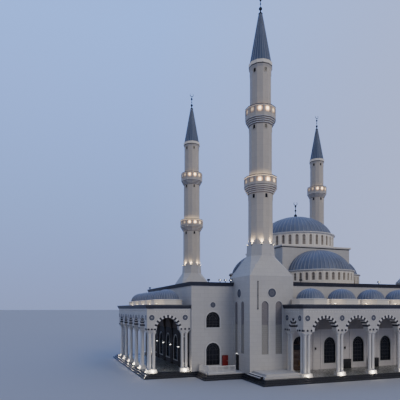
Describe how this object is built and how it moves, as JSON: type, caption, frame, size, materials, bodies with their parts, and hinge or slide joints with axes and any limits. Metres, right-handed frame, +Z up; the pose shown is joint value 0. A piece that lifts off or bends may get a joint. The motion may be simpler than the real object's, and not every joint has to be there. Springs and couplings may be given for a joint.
{
  "type": "mosque building, scale model 1:2",
  "caption": "Symmetrical mosque with balconied minarets at its corners, a central dome on half domes, arcaded porticoes under rows of small domes, and a hollow hall, at half scale.",
  "frame": {"origin": "on the ground, on the podium's underside, under the middle of the central dome", "axes": "+X to the right along the front, +Y to the back, +Z up"},
  "size_m": [34.8, 23.775, 29.7133],
  "materials": {
    "stone": "off-white stone cladding, matte",
    "shaft_stone": "warm grey-beige stone, matte",
    "lead": "blue-grey sheet metal in ribs",
    "slate": "dark slate-blue sheet metal",
    "granite": "dark honed granite",
    "window_glass": "dark tinted glass",
    "timber": "dark brown varnish",
    "dark_metal": "dark paint",
    "red_paint": "red gloss paint"
  },
  "bodies": {
    "building": {"podium": "granite", "left_terrace": "stone", "right_terrace": "stone", "left_landing": "stone", "right_landing": "stone", "left_wing_walls": "stone", "right_wing_walls": "stone", "front_left_tower": "stone", "front_right_tower": "stone", "back_right_tower": "stone", "back_left_tower": "stone", "front_left_minaret": "shaft_stone", "front_right_minaret": "shaft_stone", "back_right_minaret": "shaft_stone", "back_left_minaret": "shaft_stone", "front_left_spire": "lead", "front_right_spire": "lead", "back_right_spire": "lead", "back_left_spire": "lead", "front_right_tower_door": "dark_metal", "front_wall_left_pier": "stone", "front_wall_over_left_entrance": "stone", "front_wall": "stone", "back_wall": "stone", "hall_roof": "slate", "crossing_block": "stone", "main_drum": "stone", "main_dome": "lead", "front_half_drum": "stone", "right_half_drum": "stone", "back_half_drum": "stone", "left_half_drum": "stone", "front_half_dome": "lead", "right_half_dome": "lead", "back_half_dome": "lead", "left_half_dome": "lead", "front_arcade": "stone", "left_arcade": "stone", "right_arcade": "stone", "front_portico_roof": "slate", "left_portico_roof": "slate", "right_portico_roof": "slate", "left_entrance_frame": "timber", "right_entrance_doors": "timber", "left_fanlight_glass": "window_glass", "front_window_glass": "window_glass", "back_window_glass": "window_glass", "left_wing_front_glass": "window_glass", "left_wing_back_glass": "window_glass", "left_wing_side_glass": "window_glass", "right_wing_front_glass": "window_glass", "right_wing_back_glass": "window_glass", "right_wing_side_glass": "window_glass", "hose_cabinet": "red_paint"},
    "entrance_leaf_a": {"left_entrance_leaf_a": "timber"},
    "entrance_leaf_b": {"left_entrance_leaf_b": "timber"},
    "tower_door": {"front_left_tower_door": "dark_metal"}
  },
  "joints": [
    {"name": "entrance_leaf_a_hinge", "type": "hinge", "parent": "building", "child": "entrance_leaf_a", "pos_m": [-6.05, -9.33, 1], "axis": [0, 0, -1], "range_deg": [0, 90]},
    {"name": "entrance_leaf_b_hinge", "type": "hinge", "parent": "building", "child": "entrance_leaf_b", "pos_m": [-5.05, -9.33, 1], "axis": [0, 0, 1], "range_deg": [0, 90]},
    {"name": "tower_door_hinge", "type": "hinge", "parent": "building", "child": "tower_door", "pos_m": [-10.13, -8.3, 1], "axis": [0, 0, 1], "range_deg": [0, 90]}
  ]
}
